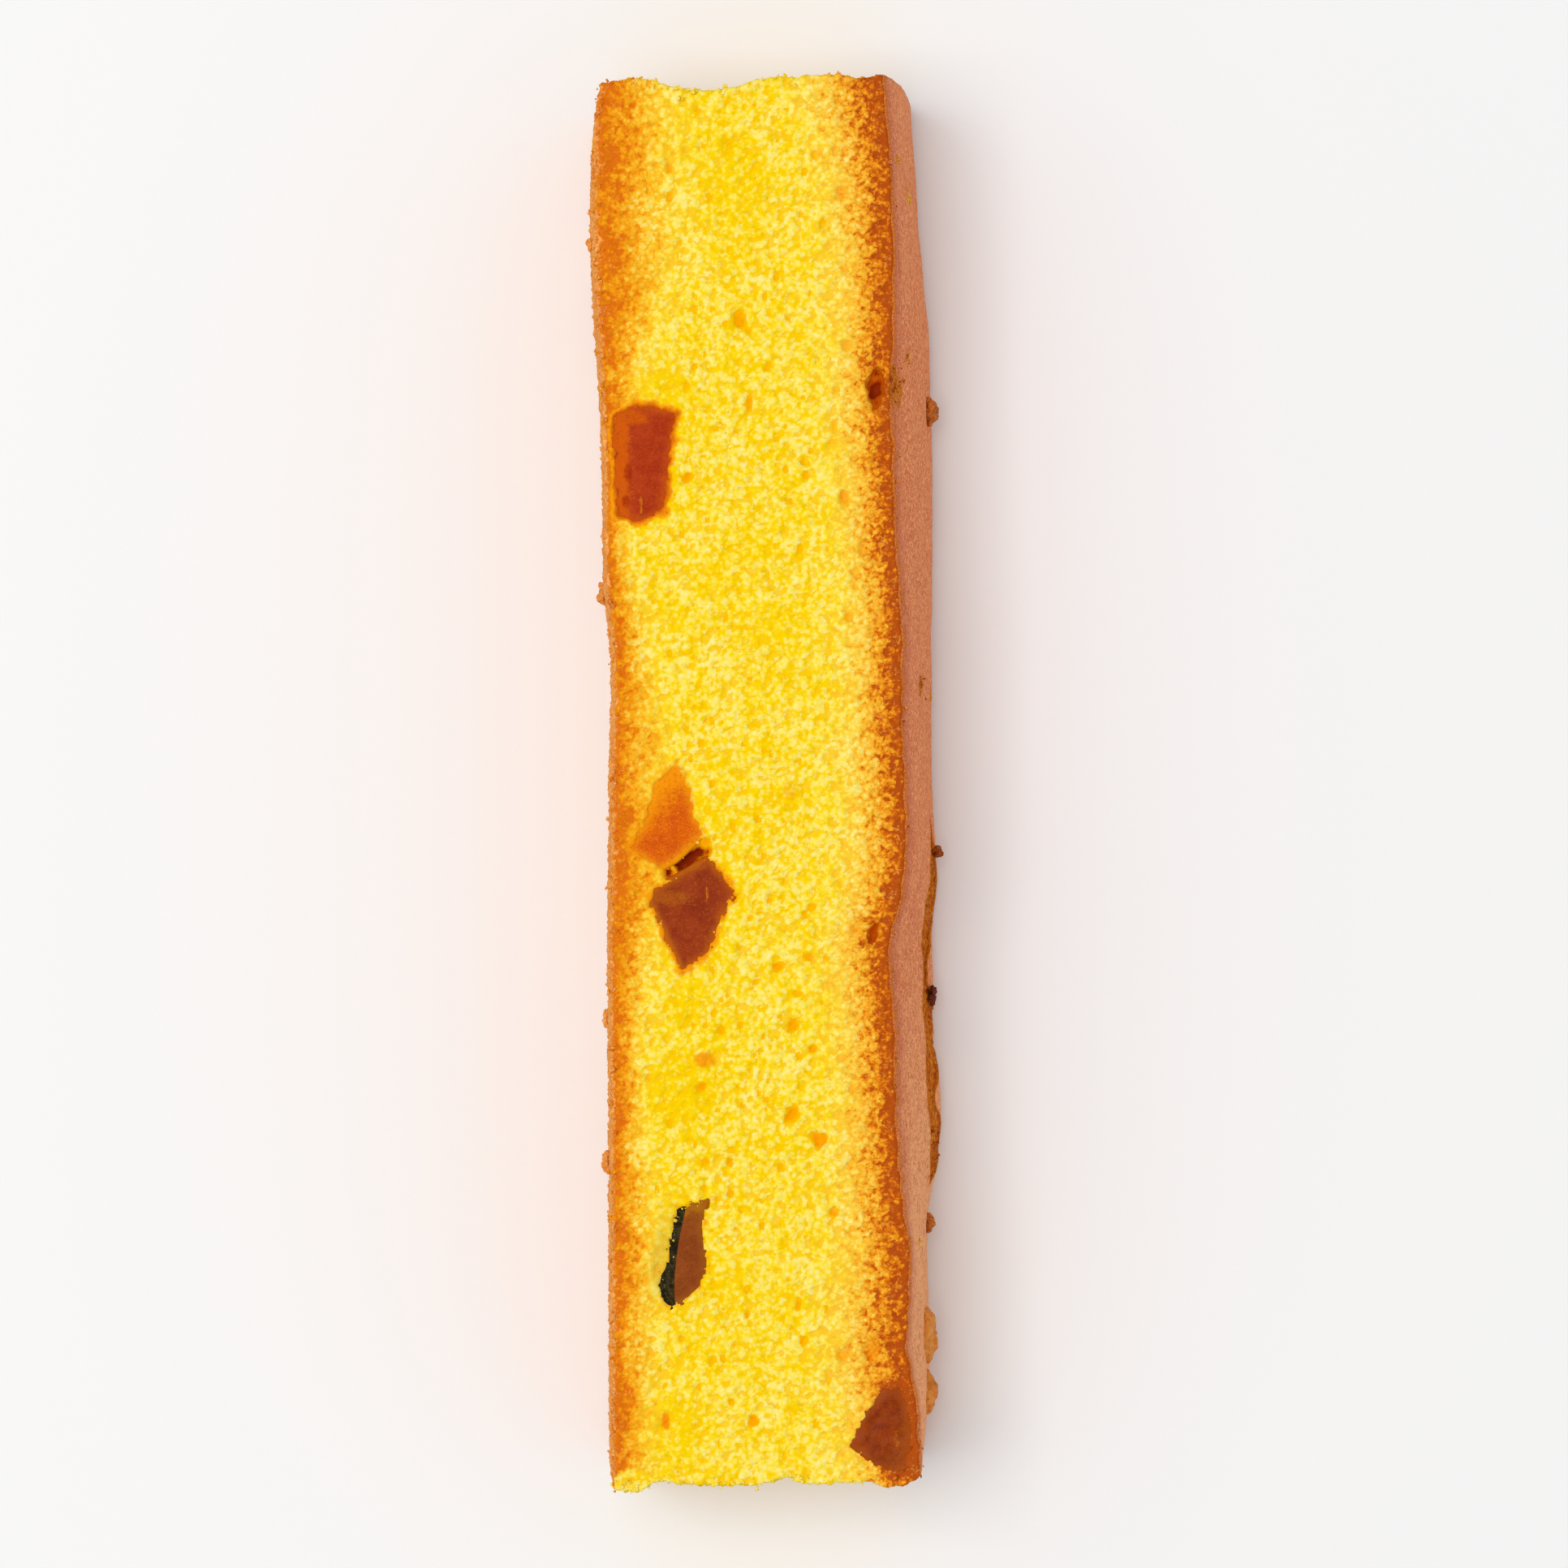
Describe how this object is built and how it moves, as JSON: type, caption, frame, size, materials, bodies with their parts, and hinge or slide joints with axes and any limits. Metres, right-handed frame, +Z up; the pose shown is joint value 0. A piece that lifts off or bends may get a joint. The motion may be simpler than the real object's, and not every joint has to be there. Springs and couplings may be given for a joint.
{
  "type": "pumpkin cake stick",
  "caption": "Stick-shaped slice of yellow pumpkin butter cake with browned crusts and candied pumpkin pieces, lying on one cut face.",
  "frame": {"origin": "middle of the lower cut face, on the surface that the stick lies on", "axes": "+Z up, +Y along the stick to the picture's upper end, +X towards the top crust"},
  "size_m": [0.0332, 0.1312, 0.0253],
  "materials": {
    "crumb": "matt open cake crumb, browned at both crusts",
    "red_pumpkin": "moist candied pumpkin, red-brown",
    "orange_pumpkin": "moist candied pumpkin, orange",
    "dark_pumpkin": "moist candied pumpkin, dark red-brown",
    "rind_pumpkin": "moist candied pumpkin with a dark green rind",
    "baked_pumpkin": "baked candied pumpkin, dark brown with lighter flecks",
    "knob_pumpkin": "candied pumpkin baked into the crust, shiny orange-brown"
  },
  "bodies": {
    "root": {"cake": "crumb", "pumpkin_block": "red_pumpkin", "pumpkin_wedge": "orange_pumpkin", "pumpkin_diamond": "dark_pumpkin", "pumpkin_with_rind": "rind_pumpkin", "pumpkin_corner": "baked_pumpkin", "pumpkin_knob_long": "knob_pumpkin", "pumpkin_knob_short": "knob_pumpkin"}
  },
  "joints": []
}
